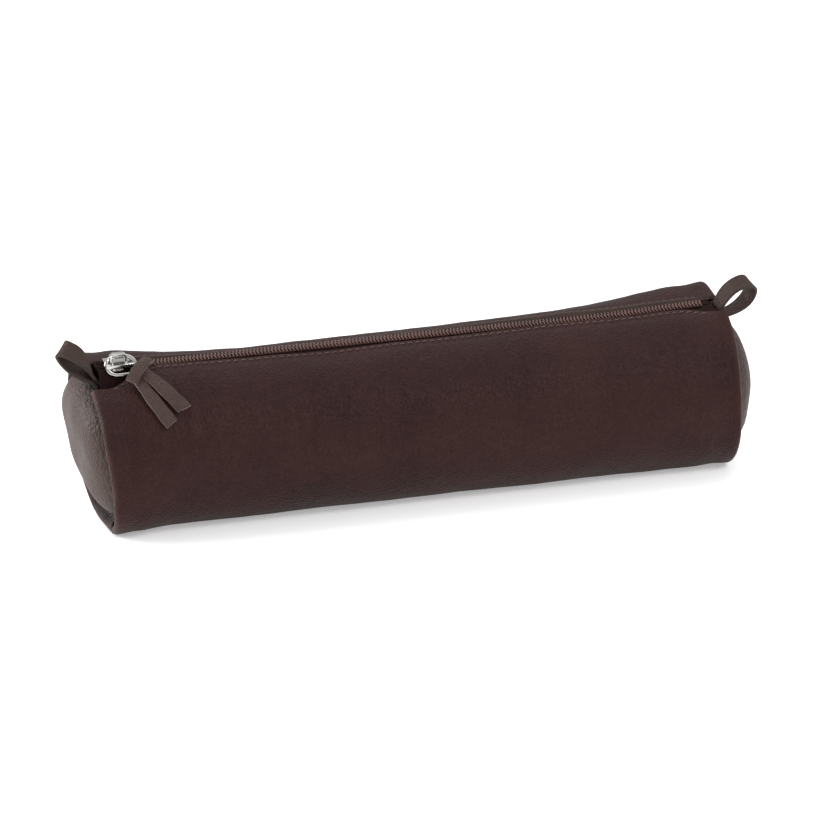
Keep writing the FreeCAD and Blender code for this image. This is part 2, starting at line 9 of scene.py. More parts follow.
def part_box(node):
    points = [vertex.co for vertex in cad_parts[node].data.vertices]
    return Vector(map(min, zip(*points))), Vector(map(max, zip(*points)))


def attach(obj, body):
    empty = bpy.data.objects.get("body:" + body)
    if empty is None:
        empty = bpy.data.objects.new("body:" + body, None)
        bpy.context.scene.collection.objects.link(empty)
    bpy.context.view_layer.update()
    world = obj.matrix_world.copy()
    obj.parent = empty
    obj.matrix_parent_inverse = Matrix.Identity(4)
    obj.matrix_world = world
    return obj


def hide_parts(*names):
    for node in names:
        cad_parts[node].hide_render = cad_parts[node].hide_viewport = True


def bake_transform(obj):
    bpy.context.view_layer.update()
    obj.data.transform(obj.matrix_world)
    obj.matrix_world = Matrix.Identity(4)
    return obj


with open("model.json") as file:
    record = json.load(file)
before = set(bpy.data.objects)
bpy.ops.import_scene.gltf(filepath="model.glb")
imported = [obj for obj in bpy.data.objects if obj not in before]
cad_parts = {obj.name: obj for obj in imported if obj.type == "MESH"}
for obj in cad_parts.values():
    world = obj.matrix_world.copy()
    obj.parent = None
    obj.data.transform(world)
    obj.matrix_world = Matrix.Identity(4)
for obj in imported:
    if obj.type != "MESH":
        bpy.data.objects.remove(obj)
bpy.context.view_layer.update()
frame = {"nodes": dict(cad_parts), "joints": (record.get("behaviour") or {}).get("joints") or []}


# ------------------------------------------------------------------ camera, light and table
# A product picture of the case: a long lens from the left of the front, a pale table,
# and large soft lamps that leave a broad sheen on the leather.
camera_azimuth = math.radians(-16.5)
camera_elevation = math.radians(15.0)
camera_roll = math.radians(-1.75)
camera_distance = 1.50
camera_aim = Vector((0.0, 0.0, 0.0285))

back = Vector((math.sin(camera_azimuth) * math.cos(camera_elevation),
               -math.cos(camera_azimuth) * math.cos(camera_elevation),
               math.sin(camera_elevation)))
lens = bpy.data.cameras.new("camera")
lens.sensor_width = 36.0
lens.lens = 199.6
lens.clip_start = 0.01
camera = bpy.data.objects.new("camera", lens)
bpy.context.scene.collection.objects.link(camera)
look = (-back).to_track_quat("-Z", "Y").to_matrix().to_4x4()
camera.matrix_world = (Matrix.Translation(camera_aim + back * camera_distance)
                       @ look @ Matrix.Rotation(camera_roll, 4, "Z"))
bpy.context.scene.camera = camera


def soft_lamp(name, place, aim, size, watts):
    """A square softbox that points at a place on the case."""
    lamp = bpy.data.lights.new(name, "AREA")
    lamp.shape = "RECTANGLE"
    lamp.size, lamp.size_y = size
    lamp.energy = watts
    holder = bpy.data.objects.new(name, lamp)
    holder.location = place
    holder.rotation_euler = (Vector(aim) - Vector(place)).to_track_quat("-Z", "Y").to_euler()
    bpy.context.scene.collection.objects.link(holder)


soft_lamp("top_softbox", (0.15, 0.45, 1.1), (0, 0, 0.03), (1.6, 1.0), 5.0)
soft_lamp("front_softbox", (0.42, -0.62, 0.62), (0.06, 0, 0.03), (0.26, 0.30), 3.4)
soft_lamp("left_softbox", (-0.80, 0.30, 0.35), (-0.1, 0, 0.03), (0.6, 0.6), 8.0)

world = bpy.data.worlds.new("studio")
world.use_nodes = True
world.node_tree.nodes["Background"].inputs["Color"].default_value = (1.0, 1.0, 1.0, 1.0)
world.node_tree.nodes["Background"].inputs["Strength"].default_value = 0.66
bpy.context.scene.world = world
bpy.context.scene.view_settings.view_transform = "Standard"


def start_from_nothing():
    """Leaves edit mode and deselects everything, so that the next operator acts on its own."""
    if bpy.context.mode != "OBJECT":
        bpy.ops.object.mode_set(mode="OBJECT")
    bpy.ops.object.select_all(action="DESELECT")


start_from_nothing()
bpy.ops.mesh.primitive_plane_add(size=8.0, location=(0, 0, 0))
table = bpy.context.object
table.name = "table"
table_finish = bpy.data.materials.new("table_white")
table_finish.use_nodes = True
table_paint = table_finish.node_tree.nodes["Principled BSDF"]
table_paint.inputs["Base Color"].default_value = (0.93, 0.93, 0.93, 1.0)
table_paint.inputs["Roughness"].default_value = 0.7
table_paint.inputs["Emission Color"].default_value = (1.0, 1.0, 1.0, 1.0)
table_paint.inputs["Emission Strength"].default_value = 0.35
table.data.materials.append(table_finish)


# ------------------------------------------------------------------ leather finish
# Soft aniline calf: dark brown, a fine pebble grain, a low sheen that is smoother where it is
# handled, a little paler on the rolled edges where the colour wears and where a painted highlight lights
# the lip crests, and painted shade darkening it down in the seams.
MM = 0.001


class Wire:
    """A shader socket that can be added, multiplied and so on in an ordinary expression."""

    def __init__(self, finish, socket):
        self.finish = finish
        self.socket = socket

    def _math(self, operation, first, second):
        return self.finish.node("ShaderNodeMath", {"operation": operation}, {0: first, 1: second})

    def __add__(self, other):
        return self._math("ADD", self, other)

    def __sub__(self, other):
        return self._math("SUBTRACT", self, other)

    def __mul__(self, other):
        return self._math("MULTIPLY", self, other)

    def __radd__(self, other):
        return self._math("ADD", other, self)

    def __rsub__(self, other):
        return self._math("SUBTRACT", other, self)

    def __rmul__(self, other):
        return self._math("MULTIPLY", other, self)


class Finish:
    """A material being built: its nodes, and the surface shader that they feed."""

    def __init__(self, name):
        self.material = bpy.data.materials.new(name)
        self.material.use_nodes = True
        self.tree = self.material.node_tree
        self.surface = self.tree.nodes["Principled BSDF"]

    def feed(self, socket, what):
        if isinstance(what, Wire):
            self.tree.links.new(what.socket, socket)
        else:
            socket.default_value = what

    def node(self, kind, settings=None, sockets=None, out=0):
        made = self.tree.nodes.new(kind)
        for name, setting in (settings or {}).items():
            if name == "stops":
                ramp = made.color_ramp.elements
                while len(ramp) < len(setting):
                    ramp.new(0.5)
                for stop, (position, colour) in zip(ramp, setting):
                    stop.position = position
                    stop.color = colour
            else:
                setattr(made, name, setting)
        for name, what in (sockets or {}).items():
            self.feed(made.inputs[name], what)
        return Wire(self, made.outputs[out])

    def place(self):
        return self.node("ShaderNodeTexCoord", out="Object")

    def stretch(self, vector, scale):
        return self.node("ShaderNodeMapping", {}, {"Vector": vector, "Scale": scale})

    def noise(self, vector, scale, detail=3.0, roughness=0.5):
        sockets = {"Vector": vector, "Scale": scale, "Detail": detail, "Roughness": roughness}
        return self.node("ShaderNodeTexNoise", {}, sockets)

    def mix(self, factor, first, second):
        sockets = {"Factor": factor, 6: first, 7: second}
        return self.node("ShaderNodeMix", {"data_type": "RGBA"}, sockets, out=2)

    def bump(self, height, depth, strength=1.0, normal=None):
        sockets = {"Height": height, "Distance": depth, "Strength": strength}
        if normal:
            sockets["Normal"] = normal
        return self.node("ShaderNodeBump", {}, sockets)

    def set(self, **sockets):
        for name, what in sockets.items():
            self.feed(self.surface.inputs[name.replace("_", " ")], what)
        return self.material


def leather_finish(name, dark, light, wear_and_highlight_tone, rough, grain=1.0, gloss=0.10):
    """Grained leather between two browns, paler where the mesh is marked worn (on the lip crests also a
    painted highlight), near-black where it is marked with painted valley shade.
    """
    finish = Finish(name)
    place = finish.place()
    patches = finish.noise(place, 34.0, 4.0, 0.55)
    mottle = finish.noise(place, 420.0, 3.0, 0.6)
    pebbles = finish.node("ShaderNodeTexVoronoi", {"feature": "SMOOTH_F1"},
                          {"Vector": place, "Scale": 1150.0, "Smoothness": 0.35, "Randomness": 0.9})
    pores = finish.noise(place, 2600.0, 2.0, 0.6)
    lines = finish.noise(finish.stretch(place, (1.0, 0.45, 0.3)), 260.0, 4.0, 0.7)
    rubbed = finish.node("ShaderNodeAttribute", {"attribute_name": "rubbed"}, out="Fac")
    tone = finish.node("ShaderNodeValToRGB", {"stops": [(0.3, dark), (0.72, light)]},
                       {"Fac": patches * 0.55 + mottle * 0.3 + pebbles * 0.25})
    # Paler where worn; on the lip crests this also stands in for a painted rim highlight.
    colour = finish.mix(rubbed * 0.8, tone, wear_and_highlight_tone)
    # Painted shade: the seam valleys are darkened to near-black, as occlusion would darken them.
    valley = finish.node("ShaderNodeAttribute", {"attribute_name": "valley"}, out="Fac")
    colour = finish.mix(valley * 0.9, colour, (0.0030, 0.0016, 0.0014, 1))
    coarse = finish.bump(lines, 0.62 * MM * grain, 0.75)
    height = (1.0 - pebbles) * 0.8 + pores * 0.3
    normal = finish.bump(height, 0.34 * MM * grain, 0.95, coarse)
    roughness = rough + patches * 0.14 - rubbed * 0.08 + pores * 0.06
    finish.surface.inputs["Specular IOR Level"].default_value = gloss
    return finish.set(Base_Color=colour, Roughness=roughness, Normal=normal)


def suede_finish(name, dark, light):
    """The flesh side of the leather: matt, fibrous and a little greyer."""
    finish = Finish(name)
    place = finish.place()
    nap = finish.noise(place, 900.0, 5.0, 0.75)
    clouds = finish.noise(place, 60.0, 3.0, 0.5)
    tone = finish.node("ShaderNodeValToRGB", {"stops": [(0.3, dark), (0.75, light)]},
                       {"Fac": nap * 0.7 + clouds * 0.3})
    return finish.set(Base_Color=tone, Roughness=0.93, Normal=finish.bump(nap, 0.15 * MM, 0.6))


case_leather = leather_finish("case_leather", (0.0160, 0.0052, 0.0048, 1),
                              (0.037, 0.0150, 0.0135, 1), (0.085, 0.048, 0.038, 1), 0.36)
flesh_side = suede_finish("flesh_side", (0.055, 0.034, 0.026, 1), (0.11, 0.072, 0.056, 1))
cut_edge = suede_finish("cut_edge", (0.05, 0.032, 0.027, 1), (0.10, 0.066, 0.054, 1))


# ------------------------------------------------------------------ the wrap
# One piece of soft leather, cut flat and rolled into a tube; its ends are turned in over a
# rolled lip to the seam, and its two long edges are turned and stitched beside the zip.
case_low, case_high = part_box("body_wrap")
half_length = case_high[0]
tube_radius = case_high[1]
axis_height = case_high[2] - tube_radius
joints = {joint["name"]: joint for joint in frame["joints"]}
zip_across = Vector(joints["ring_lift"]["axis"])
zip_lean = math.atan2(zip_across.z, zip_across.y)
zip_out = Vector((0.0, -math.sin(zip_lean), math.cos(zip_lean)))
edge_set = 3.7 * MM
lip_bend = 1.7 * MM
lip_turn = math.radians(140)
lip_tuck = 3.0 * MM
wall = 1.3 * MM
flap = lip_bend * lip_turn + lip_tuck
slack = 1.3 * MM
slack_until = half_length - 46 * MM
tight_from = half_length - 2 * MM
gape_from = half_length - 24 * MM
seam_at = half_length - 4 * MM
foot_from = half_length - 27 * MM
mouth_span = 85 * MM
stitch_row = 1.25 * MM


def ramp(value, start, end):
    """0 before start, 1 after end, smooth between."""
    t = np.clip((value - start) / (end - start), 0.0, 1.0)
    return t * t * (3 - 2 * t)


def bumps(x, angle, scale, seed):
    """Soft unevenness of hand-stuffed leather, between about -1 and 1."""
    places = zip(x.ravel(), angle.ravel())
    spots = [noise.noise(Vector((a * scale[0], b * scale[1], seed))) for a, b in places]
    return np.array(spots).reshape(x.shape)


def end_shift(angle, side):
    """How far an end's rim leans in: the left end at its foot, the right end at its front."""
    low = (1 - np.cos(angle)) / 2
    front = np.exp(-((angle - 1.5) / 1.0) ** 2)
    return np.where(side < 0, 5.0 * MM * low ** 1.5, 2.1 * MM * front)


def end_swell(s, angle):
    """How the stuffing and the end panels push the tube's two ends out of round."""
    left = ramp(-s, half_length - 44 * MM, half_length - 3 * MM)
    right = ramp(s, half_length - 60 * MM, tight_from)
    off_hump = angle + 0.40
    top_back = np.exp(-(off_hump / np.where(off_hump > 0, 0.27, 0.65)) ** 2)
    swell = (1.9 * left + 4.8 * right) * MM * top_back
    left_foot = ramp(-s, foot_from, seam_at)
    right_foot = ramp(s, foot_from, seam_at)
    low_front = np.exp(-((angle - 2.35) / 0.5) ** 2)
    mid_front = np.exp(-((angle - 1.35) / 0.5) ** 2)
    swell = swell + (2.6 * left_foot + 0.8 * right_foot) * MM * low_front
    swell = swell - 1.3 * MM * left_foot * mid_front
    corner = ramp(-s, half_length - 24 * MM, half_length - 6 * MM)
    return swell - 2.6 * MM * corner * np.exp(-((angle - 0.50) / 0.30) ** 2)


def wrap_surface(s, angle, inward=0.0):
    """The leather's outer face: s runs along the case from its middle, angle turns from straight up
    to the front (or to the back if negative). Returns x, y and z."""
    s = np.asarray(s, float)
    angle = np.asarray(angle, float)
    side = np.sign(s)
    run = np.abs(s)
    start = half_length - lip_bend
    past = np.clip(run - start, 0.0, None)
    turn = np.clip(past / lip_bend, 0.0, lip_turn)
    tuck = np.clip(past - lip_bend * lip_turn, 0.0, None)
    x = np.minimum(run, start) + lip_bend * np.sin(turn) + tuck * math.cos(lip_turn)
    drop = lip_bend * (1 - np.cos(turn)) + tuck * math.sin(lip_turn)
    near_end = ramp(run, slack_until, tight_from)
    x = x - end_shift(angle, side) * ramp(run, half_length - 26 * MM, half_length - 3 * MM)
    left_of_middle = np.exp(-((s + 0.035) / 0.034) ** 2)
    right_of_middle = np.exp(-((s - 0.056) / 0.026) ** 2)
    loose = slack * (1 - near_end) + (0.7 * left_of_middle - 0.9 * right_of_middle) * MM
    fullness = -loose * np.exp(-((angle + 0.1) / 0.9) ** 2)
    belly = 0.5 * MM * np.exp(-((np.abs(angle) - 1.9) / 0.6) ** 2)
    waist = -0.55 * MM * np.exp(-((run - (half_length - 7 * MM)) / (4 * MM)) ** 2)
    under_stitches = np.exp(-((np.abs(angle - zip_lean) - 0.205) / 0.055) ** 2)
    seam_dip = -0.35 * MM * under_stitches * (1 - ramp(run, 98 * MM, 108 * MM))
    uneven = 0.40 * MM * bumps(s, angle, (38.0, 1.6), 1.0)
    uneven = uneven + 0.14 * MM * bumps(s, angle, (120.0, 3.0), 5.0)
    on_sides = np.exp(-((np.abs(angle) - 1.2) / 0.7) ** 2)
    creases = 0.22 * MM * bumps(s, angle, (330.0, 1.3), 9.0) * on_sides
    fade = 1 - 0.7 * ramp(run, half_length - 4 * MM, half_length)
    radius = tube_radius - 0.1 * MM + end_swell(s, angle) + fullness + belly + waist + seam_dip
    radius = radius + (uneven + creases) * fade - drop - inward
    y = -radius * np.sin(angle)
    z = axis_height + radius * np.cos(angle)
    soft = 1.1 * MM
    z = 0.5 * (z + np.sqrt(z * z + soft * soft)) - 0.13 * MM + drop * 0.35 * (np.cos(angle) < -0.9)
    return side * x, y, z


def mouth_angle(s, side):
    """Where the leather's turned edge runs beside the coil; it eases away from the zip at its ends,
    most at the front of the left end, where the mouth gapes."""
    half = math.asin(edge_set / tube_radius)
    left = ramp(-s, gape_from, seam_at)
    right = ramp(s, half_length - 17 * MM, half_length)
    ease = 0.25 * left + 0.11 * right if side > 0 else 0.03 * (left + right)
    return zip_lean + side * (half + ease)


def lay_columns(u, stretch):
    """Places along the case for a grid's columns: close together over the rolled lips."""
    full = half_length - lip_bend + flap
    near = half_length - 6 * MM
    if stretch == 0:
        return u * mouth_span
    return stretch * np.interp(u * stretch, [-1, -0.2, 1], [mouth_span, near, full])


def read_points(piece):
    points = np.empty(len(piece.data.vertices) * 3)
    piece.data.vertices.foreach_get("co", points)
    return points.reshape(-1, 3)


def write_points(piece, points):
    piece.data.vertices.foreach_set("co", np.ascontiguousarray(points, dtype=float).ravel())
    piece.data.update()


def new_grid(name, columns, rows):
    """A flat grid to be shaped, two units long and two wide."""
    start_from_nothing()
    bpy.ops.mesh.primitive_grid_add(x_subdivisions=columns, y_subdivisions=rows, size=2.0)
    piece = bpy.context.object
    piece.name = name
    piece.data.name = name
    return piece


def apply_all(piece):
    start_from_nothing()
    piece.select_set(True)
    bpy.context.view_layer.objects.active = piece
    for modifier in list(piece.modifiers):
        bpy.ops.object.modifier_apply(modifier=modifier.name)


def turn_outward(piece):
    start_from_nothing()
    piece.select_set(True)
    bpy.context.view_layer.objects.active = piece
    bpy.ops.object.mode_set(mode="EDIT")
    bpy.ops.mesh.select_all(action="SELECT")
    bpy.ops.mesh.remove_doubles(threshold=0.004 * MM)
    bpy.ops.mesh.normals_make_consistent(inside=False)
    bpy.ops.object.mode_set(mode="OBJECT")


def shade_smooth(piece, degrees=40):
    start_from_nothing()
    piece.select_set(True)
    bpy.context.view_layer.objects.active = piece
    bpy.ops.object.shade_smooth_by_angle(angle=math.radians(degrees))


def mark(piece, what, amount):
    """Stores a value from 0 to 1 on each point: how worn the leather is (with a painted highlight on the
    lip crests), or how much painted shade darkens it in a valley.
    """
    layer = piece.data.attributes.new(what, "FLOAT", "POINT")
    layer.data.foreach_set("value", np.clip(amount, 0, 1).astype(np.float32))


hinge_height = joints["front_lip_open"]["pos_m"][2]
bend_low = hinge_height - 3 * MM
bend_high = case_high[2]


def hinge_leather(piece, stretch):
    """Bakes the placement of the leather between the case and one side of its mouth into its mesh; it does
    not bend it."""
    if stretch == 0:
        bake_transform(piece)
        return
    steepness = Vector((-stretch / (seam_at - mouth_span), 0, 1 / (bend_high - bend_low)))
    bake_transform(piece)


def hinge_zip(piece, body, stretch):
    """For what is sewn to the mouth: the middle is attached to the mouth's body, so it swings whole; the
    ends are only baked in place.
    """
    if stretch == 0:
        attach(piece, body)
    else:
        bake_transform(piece)


stretch_names = {-1: "left", 0: "middle", 1: "right"}


def make_wrap_stretch(name, side, stretch, nodes):
    """Part of one half of the wrap, from under the case up to its turned edge beside the zip."""
    piece = new_grid(name, 64 if stretch else 150, 84)
    flat = read_points(piece)
    s = lay_columns(flat[:, 0], stretch)
    edge = mouth_angle(s, side)
    under = side * math.pi
    angle = edge + (under - edge) * (1 - flat[:, 1]) / 2
    x, y, z = wrap_surface(s, angle)
    write_points(piece, np.column_stack([x, y, z]))
    run = np.abs(s)
    crest = np.exp(-((run - (half_length - 0.2 * MM)) / (1.1 * MM)) ** 2)
    by_zip = np.exp(-((np.abs(angle - edge)) / 0.016) ** 2)
    patch = 0.55 + 0.75 * bumps(s, angle, (90.0, 4.0), 21.0)
    # Paler on the lip crest and along the zip edge: wear, and on the crest also a painted rim highlight.
    mark(piece, "rubbed", (0.55 * crest + 0.45 * by_zip) * patch)
    # Painted shade where the lip tucks down into the seam valley.
    mark(piece, "valley", ramp(run, half_length + 1.2 * MM, half_length + 3.4 * MM))
    thick = piece.modifiers.new("wall", "SOLIDIFY")
    thick.thickness = wall
    thick.offset = -1.0
    thick.use_rim = True
    thick.material_offset = 1
    thick.material_offset_rim = 2
    if side < 0:
        piece.data.flip_normals()
    for finish in (case_leather, flesh_side, cut_edge):
        piece.data.materials.append(finish)
    apply_all(piece)
    shade_smooth(piece, 55)
    hinge_leather(piece, stretch)
    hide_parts(*nodes)


for stretch, place_name in stretch_names.items():
    front_nodes = ["front_lip"] if stretch == 0 else ["body_wrap"]
    back_nodes = ["back_lip"] if stretch == 0 else ["body_wrap"]
    make_wrap_stretch(f"front_leather_{place_name}", 1, stretch, front_nodes)
    make_wrap_stretch(f"back_leather_{place_name}", -1, stretch, back_nodes)


# ------------------------------------------------------------------ end panels
# Round panels of the same leather, sewn in a little behind the rolled lips and pushed out to a
# dome by the stuffing; the seam draws small puckers all round the edge.
# Paler browns than the wrap's, though it is the same leather: painted light on the end panels.
panel_leather = leather_finish("panel_leather", (0.022, 0.0105, 0.0085, 1), (0.050, 0.0270, 0.0220, 1),
                               (0.10, 0.068, 0.057, 1), 0.42, gloss=0.24)
panel_rim_radius = tube_radius - 4.9 * MM
panel_rise = {-1: 9.6 * MM, 1: 11.2 * MM}
panel_foot = 5.0 * MM


def make_panel(name, side, node):
    start_from_nothing()
    bpy.ops.mesh.primitive_uv_sphere_add(segments=144, ring_count=96, radius=1.0)
    piece = bpy.context.object
    piece.name = name
    bpy.ops.object.mode_set(mode="EDIT")
    bpy.ops.mesh.select_all(action="SELECT")
    bpy.ops.mesh.bisect(plane_co=(0, 0, 0.0), plane_no=(0, 0, 1), clear_inner=True)
    bpy.ops.object.mode_set(mode="OBJECT")
    ball = read_points(piece)
    polar = np.arccos(np.clip(ball[:, 2], -1, 1)) / (math.pi / 2)
    around = np.arctan2(ball[:, 0], ball[:, 1])
    upper_back = np.exp(-((around + 0.7) / 0.7) ** 2)
    t = np.clip(polar, 0, 1)
    at_end = np.full(around.shape, side * seam_at)
    radius = (panel_rim_radius + end_swell(at_end, around)) * t
    dome = panel_rise[side] * np.clip(1 - t ** 4.5, 0, 1) ** 0.8
    if side < 0:
        dome = dome + 1.2 * MM * upper_back * np.exp(-((t - 0.75) / 0.2) ** 2)
    by_seam = np.exp(-((t - 0.93) / 0.06) ** 2)
    pucker = 0.30 * MM * np.sin(around * 31 + 1.3 * np.sin(around * 3)) * by_seam
    dents = 0.9 * MM * bumps(np.cos(around) * t, np.sin(around) * t, (1.7, 1.7), 3.0 * side)
    dents = dents * (1 - t ** 4)
    if side < 0:
        lean_in = 7.2 * MM * ((1 - np.cos(around) * t) / 2) ** 1.35
    else:
        lean_in = end_shift(around, np.full(around.shape, 1)) * t ** 6
    x = side * (seam_at + dome + pucker + dents - lean_in)
    y = -radius * np.sin(around)
    z = axis_height + radius * np.cos(around)
    above = z - panel_foot
    z = panel_foot + 0.5 * (above + np.sqrt(above ** 2 + (1.0 * MM) ** 2))
    write_points(piece, np.column_stack([x, y, z]))
    mark(piece, "rubbed", 0.25 * np.exp(-((t - 0.8) / 0.12) ** 2))
    # Painted shade towards the rim, where the panel sinks into the seam valley.
    mark(piece, "valley", ramp(t, 0.90, 0.98))
    turn_outward(piece)
    thick = piece.modifiers.new("wall", "SOLIDIFY")
    thick.thickness = wall
    thick.offset = -1.0
    thick.material_offset = 1
    thick.material_offset_rim = 2
    for finish in (panel_leather, flesh_side, cut_edge):
        piece.data.materials.append(finish)
    apply_all(piece)
    normal = piece.data.polygons[0].normal
    if normal.x * side < 0 and abs(normal.x) > 0.5:
        piece.data.flip_normals()
    shade_smooth(piece, 60)
    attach(piece, "root")
    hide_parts(node)


make_panel("left_end_leather", -1, "end_panel_left")
make_panel("right_end_leather", 1, "end_panel_right")


# ------------------------------------------------------------------ zip tapes
# Two woven polyester tapes, one under each turned edge; only a narrow band shows beside the coil.
def tape_finish():
    finish = Finish("zip_tape")
    weave = finish.node("ShaderNodeUVMap", {"uv_map": "UVMap"})
    apart = finish.node("ShaderNodeSeparateXYZ", {}, {0: weave})
    along = Wire(finish, apart.socket.node.outputs[0])
    across = Wire(finish, apart.socket.node.outputs[1])
    warp = finish.node("ShaderNodeMath", {"operation": "SINE"}, {0: along * 2600.0 + across * 90.0})
    weft = finish.node("ShaderNodeMath", {"operation": "SINE"}, {0: across * 150.0})
    fuzz = finish.noise(finish.place(), 1500.0, 3.0, 0.6)
    threads = warp * weft * 0.5 + 0.5
    # A dark brown tape, with its tone darkened further as painted shade for the shadow it lies in under the
    # leather edges.
    tone = finish.mix(threads * 0.6 + fuzz * 0.4, (0.008, 0.0030, 0.0028, 1),
                      (0.026, 0.0100, 0.0085, 1))
    finish.surface.inputs["Specular IOR Level"].default_value = 0.1
    ribs = finish.bump(threads + fuzz * 0.4, 0.1 * MM, 0.7)
    return finish.set(Base_Color=tone, Roughness=0.82, Normal=ribs)


zip_tape_cloth = tape_finish()
tape_inner = 0.35 * MM
tape_outer = 11.5 * MM
tape_radius = 27.55 * MM
tape_cloth = 0.45 * MM
gape_depth = 4.5 * MM


def on_zip(x, across, out):
    """A point by the zip: along the case, across the zip and out from the case's middle line."""
    x, across, out = (np.asarray(v, float) for v in (x, across, out))
    y = across * zip_across.y + out * zip_out.y
    z = axis_height + across * zip_across.z + out * zip_out.z
    return np.column_stack([np.broadcast_to(x, y.shape), y, z])


def zip_sink(x):
    """How far the zip lies below a true circle: it is slack up to its left end, where it gapes."""
    x = np.asarray(x, float)
    left = ramp(-x, half_length - 9 * MM, tight_from)
    right = ramp(x, slack_until, tight_from)
    return -0.93 * slack * (1 - left) * (1 - right)


def tape_runs(stretch):
    """Where a stretch of the zip begins and ends, along the case."""
    if stretch == 0:
        return -mouth_span, mouth_span
    near, far = stretch * mouth_span, stretch * seam_at
    return min(near, far), max(near, far)


def make_tape(name, side, stretch, body, node):
    piece = new_grid(name, 24 if stretch else 160, 14)
    flat = read_points(piece)
    low, high = tape_runs(stretch)
    x = low + (high - low) * (flat[:, 0] + 1) / 2
    across = side * np.interp(flat[:, 1], [-1, 1], [tape_inner, tape_outer])
    under = tape_radius + zip_sink(x)
    gape = ramp(-x, gape_from, half_length - 8 * MM) * ramp(np.abs(across), 3.3 * MM, 8 * MM)
    out = np.sqrt(under ** 2 - across ** 2) - gape_depth * gape * (side < 0)
    write_points(piece, on_zip(x, across, out))
    thick = piece.modifiers.new("cloth", "SOLIDIFY")
    thick.thickness = tape_cloth
    thick.offset = 0.0
    piece.data.materials.append(zip_tape_cloth)
    apply_all(piece)
    turn_outward(piece)
    shade_smooth(piece, 50)
    hinge_zip(piece, body, stretch)
    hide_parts(node)


for stretch, place_name in stretch_names.items():
    make_tape(f"front_tape_{place_name}", -1, stretch, "front_mouth", "front_zip_tape")
    make_tape(f"back_tape_{place_name}", 1, stretch, "back_mouth", "back_zip_tape")


# ------------------------------------------------------------------ coil
# Nylon monofilament wound flat and sewn to each tape; the heads of one half lock between
# those of the other.
def coil_finish():
    finish = Finish("coil_nylon")
    place = finish.place()
    streak = finish.noise(place, 1800.0, 2.0, 0.5)
    dye = finish.noise(place, 90.0, 3.0, 0.5)
    tone = finish.mix(dye * 0.7 + streak * 0.3, (0.040, 0.0140, 0.0110, 1),
                      (0.125, 0.048, 0.036, 1))
    return finish.set(Base_Color=tone, Roughness=0.30 + streak * 0.18,
                      Normal=finish.bump(streak, 0.03 * MM, 0.4))


coil_nylon = coil_finish()
coil_pitch = 1.2 * MM
coil_turn = 1.0 * MM
coil_wire = 0.29 * MM
coil_set = 0.88 * MM
coil_radius = 28.42 * MM
coil_broad = 1.12
coil_flat = 0.52
coil_slant = 0.16


def copies_of(piece, placements, name):
    """Joins copies of one small piece, each with its own mesh, at the given places."""
    made = []
    for placement in placements:
        twin = piece.copy()
        twin.data = piece.data.copy()
        twin.data.transform(placement)
        bpy.context.scene.collection.objects.link(twin)
        made.append(twin)
    start_from_nothing()
    for twin in made:
        twin.select_set(True)
    bpy.context.view_layer.objects.active = made[0]
    bpy.ops.object.join()
    whole = bpy.context.object
    whole.name = name
    whole.data.name = name
    bpy.data.objects.remove(piece)
    return whole


def make_coil(name, side, stretch, body, node):
    start_from_nothing()
    bpy.ops.mesh.primitive_torus_add(major_segments=12, minor_segments=5,
                                     major_radius=coil_turn, minor_radius=coil_wire)
    turn_of_wire = bpy.context.object
    turn_of_wire.data.transform(Matrix.Rotation(math.radians(90), 4, "Y"))
    points = read_points(turn_of_wire)
    points[:, 1] = points[:, 1] * coil_broad + side * coil_set
    points[:, 2] = points[:, 2] * coil_flat + coil_radius
    points[:, 0] += (points[:, 1] - side * coil_set) * coil_slant * side
    write_points(turn_of_wire, points)
    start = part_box(node)[0][0] + 0.3 * MM
    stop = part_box(node)[1][0]
    shift = 0.0 if side < 0 else coil_pitch / 2
    low, high = tape_runs(stretch)
    lean = Matrix.Translation((0, 0, axis_height)) @ Matrix.Rotation(zip_lean, 4, "X")
    places = []
    for turn in range(int((stop - start - shift) / coil_pitch)):
        x = start + shift + turn * coil_pitch
        if low <= x < high:
            places.append(lean @ Matrix.Translation((x, 0, float(zip_sink(x)))))
    piece = copies_of(turn_of_wire, places, name)
    piece.data.materials.append(coil_nylon)
    shade_smooth(piece, 80)
    hinge_zip(piece, body, stretch)
    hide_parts(node)


for stretch, place_name in stretch_names.items():
    make_coil(f"front_coil_{place_name}", -1, stretch, "front_mouth", "front_coil")
    make_coil(f"back_coil_{place_name}", 1, stretch, "back_mouth", "back_coil")


# ------------------------------------------------------------------ topstitching and end seams
# Lockstitch in a slightly lighter thread: a row beside each turned edge that holds the tape, and
# the end seams, whose stitches show only where the valley behind a lip gapes.
def thread_finish():
    finish = Finish("stitch_thread")
    place = finish.place()
    twist = finish.noise(finish.stretch(place, (1.0, 0.4, 0.4)), 3500.0, 2.0, 0.6)
    tone = finish.mix(twist, (0.050, 0.024, 0.021, 1), (0.150, 0.086, 0.076, 1))
    return finish.set(Base_Color=tone, Roughness=0.55, Normal=finish.bump(twist, 0.05 * MM, 0.8))


stitch_thread = thread_finish()
stitch_pitch = 2.57 * MM
topstitch_half = 103 * MM
seam_stitches = 56
seam_skip = 0.17


def new_stitch(length, thick):
    """One stitch: a short swell of thread whose ends dive into the leather."""
    start_from_nothing()
    bpy.ops.mesh.primitive_uv_sphere_add(segments=8, ring_count=7, radius=0.5)
    piece = bpy.context.object
    piece.data.transform(Matrix.Rotation(math.radians(90), 4, "Y"))
    points = read_points(piece)
    points[:, 0] *= length
    points[:, 1] *= thick
    points[:, 2] = points[:, 2] * thick - 0.22 * MM * (2 * points[:, 0] / length) ** 2
    write_points(piece, points)
    return piece


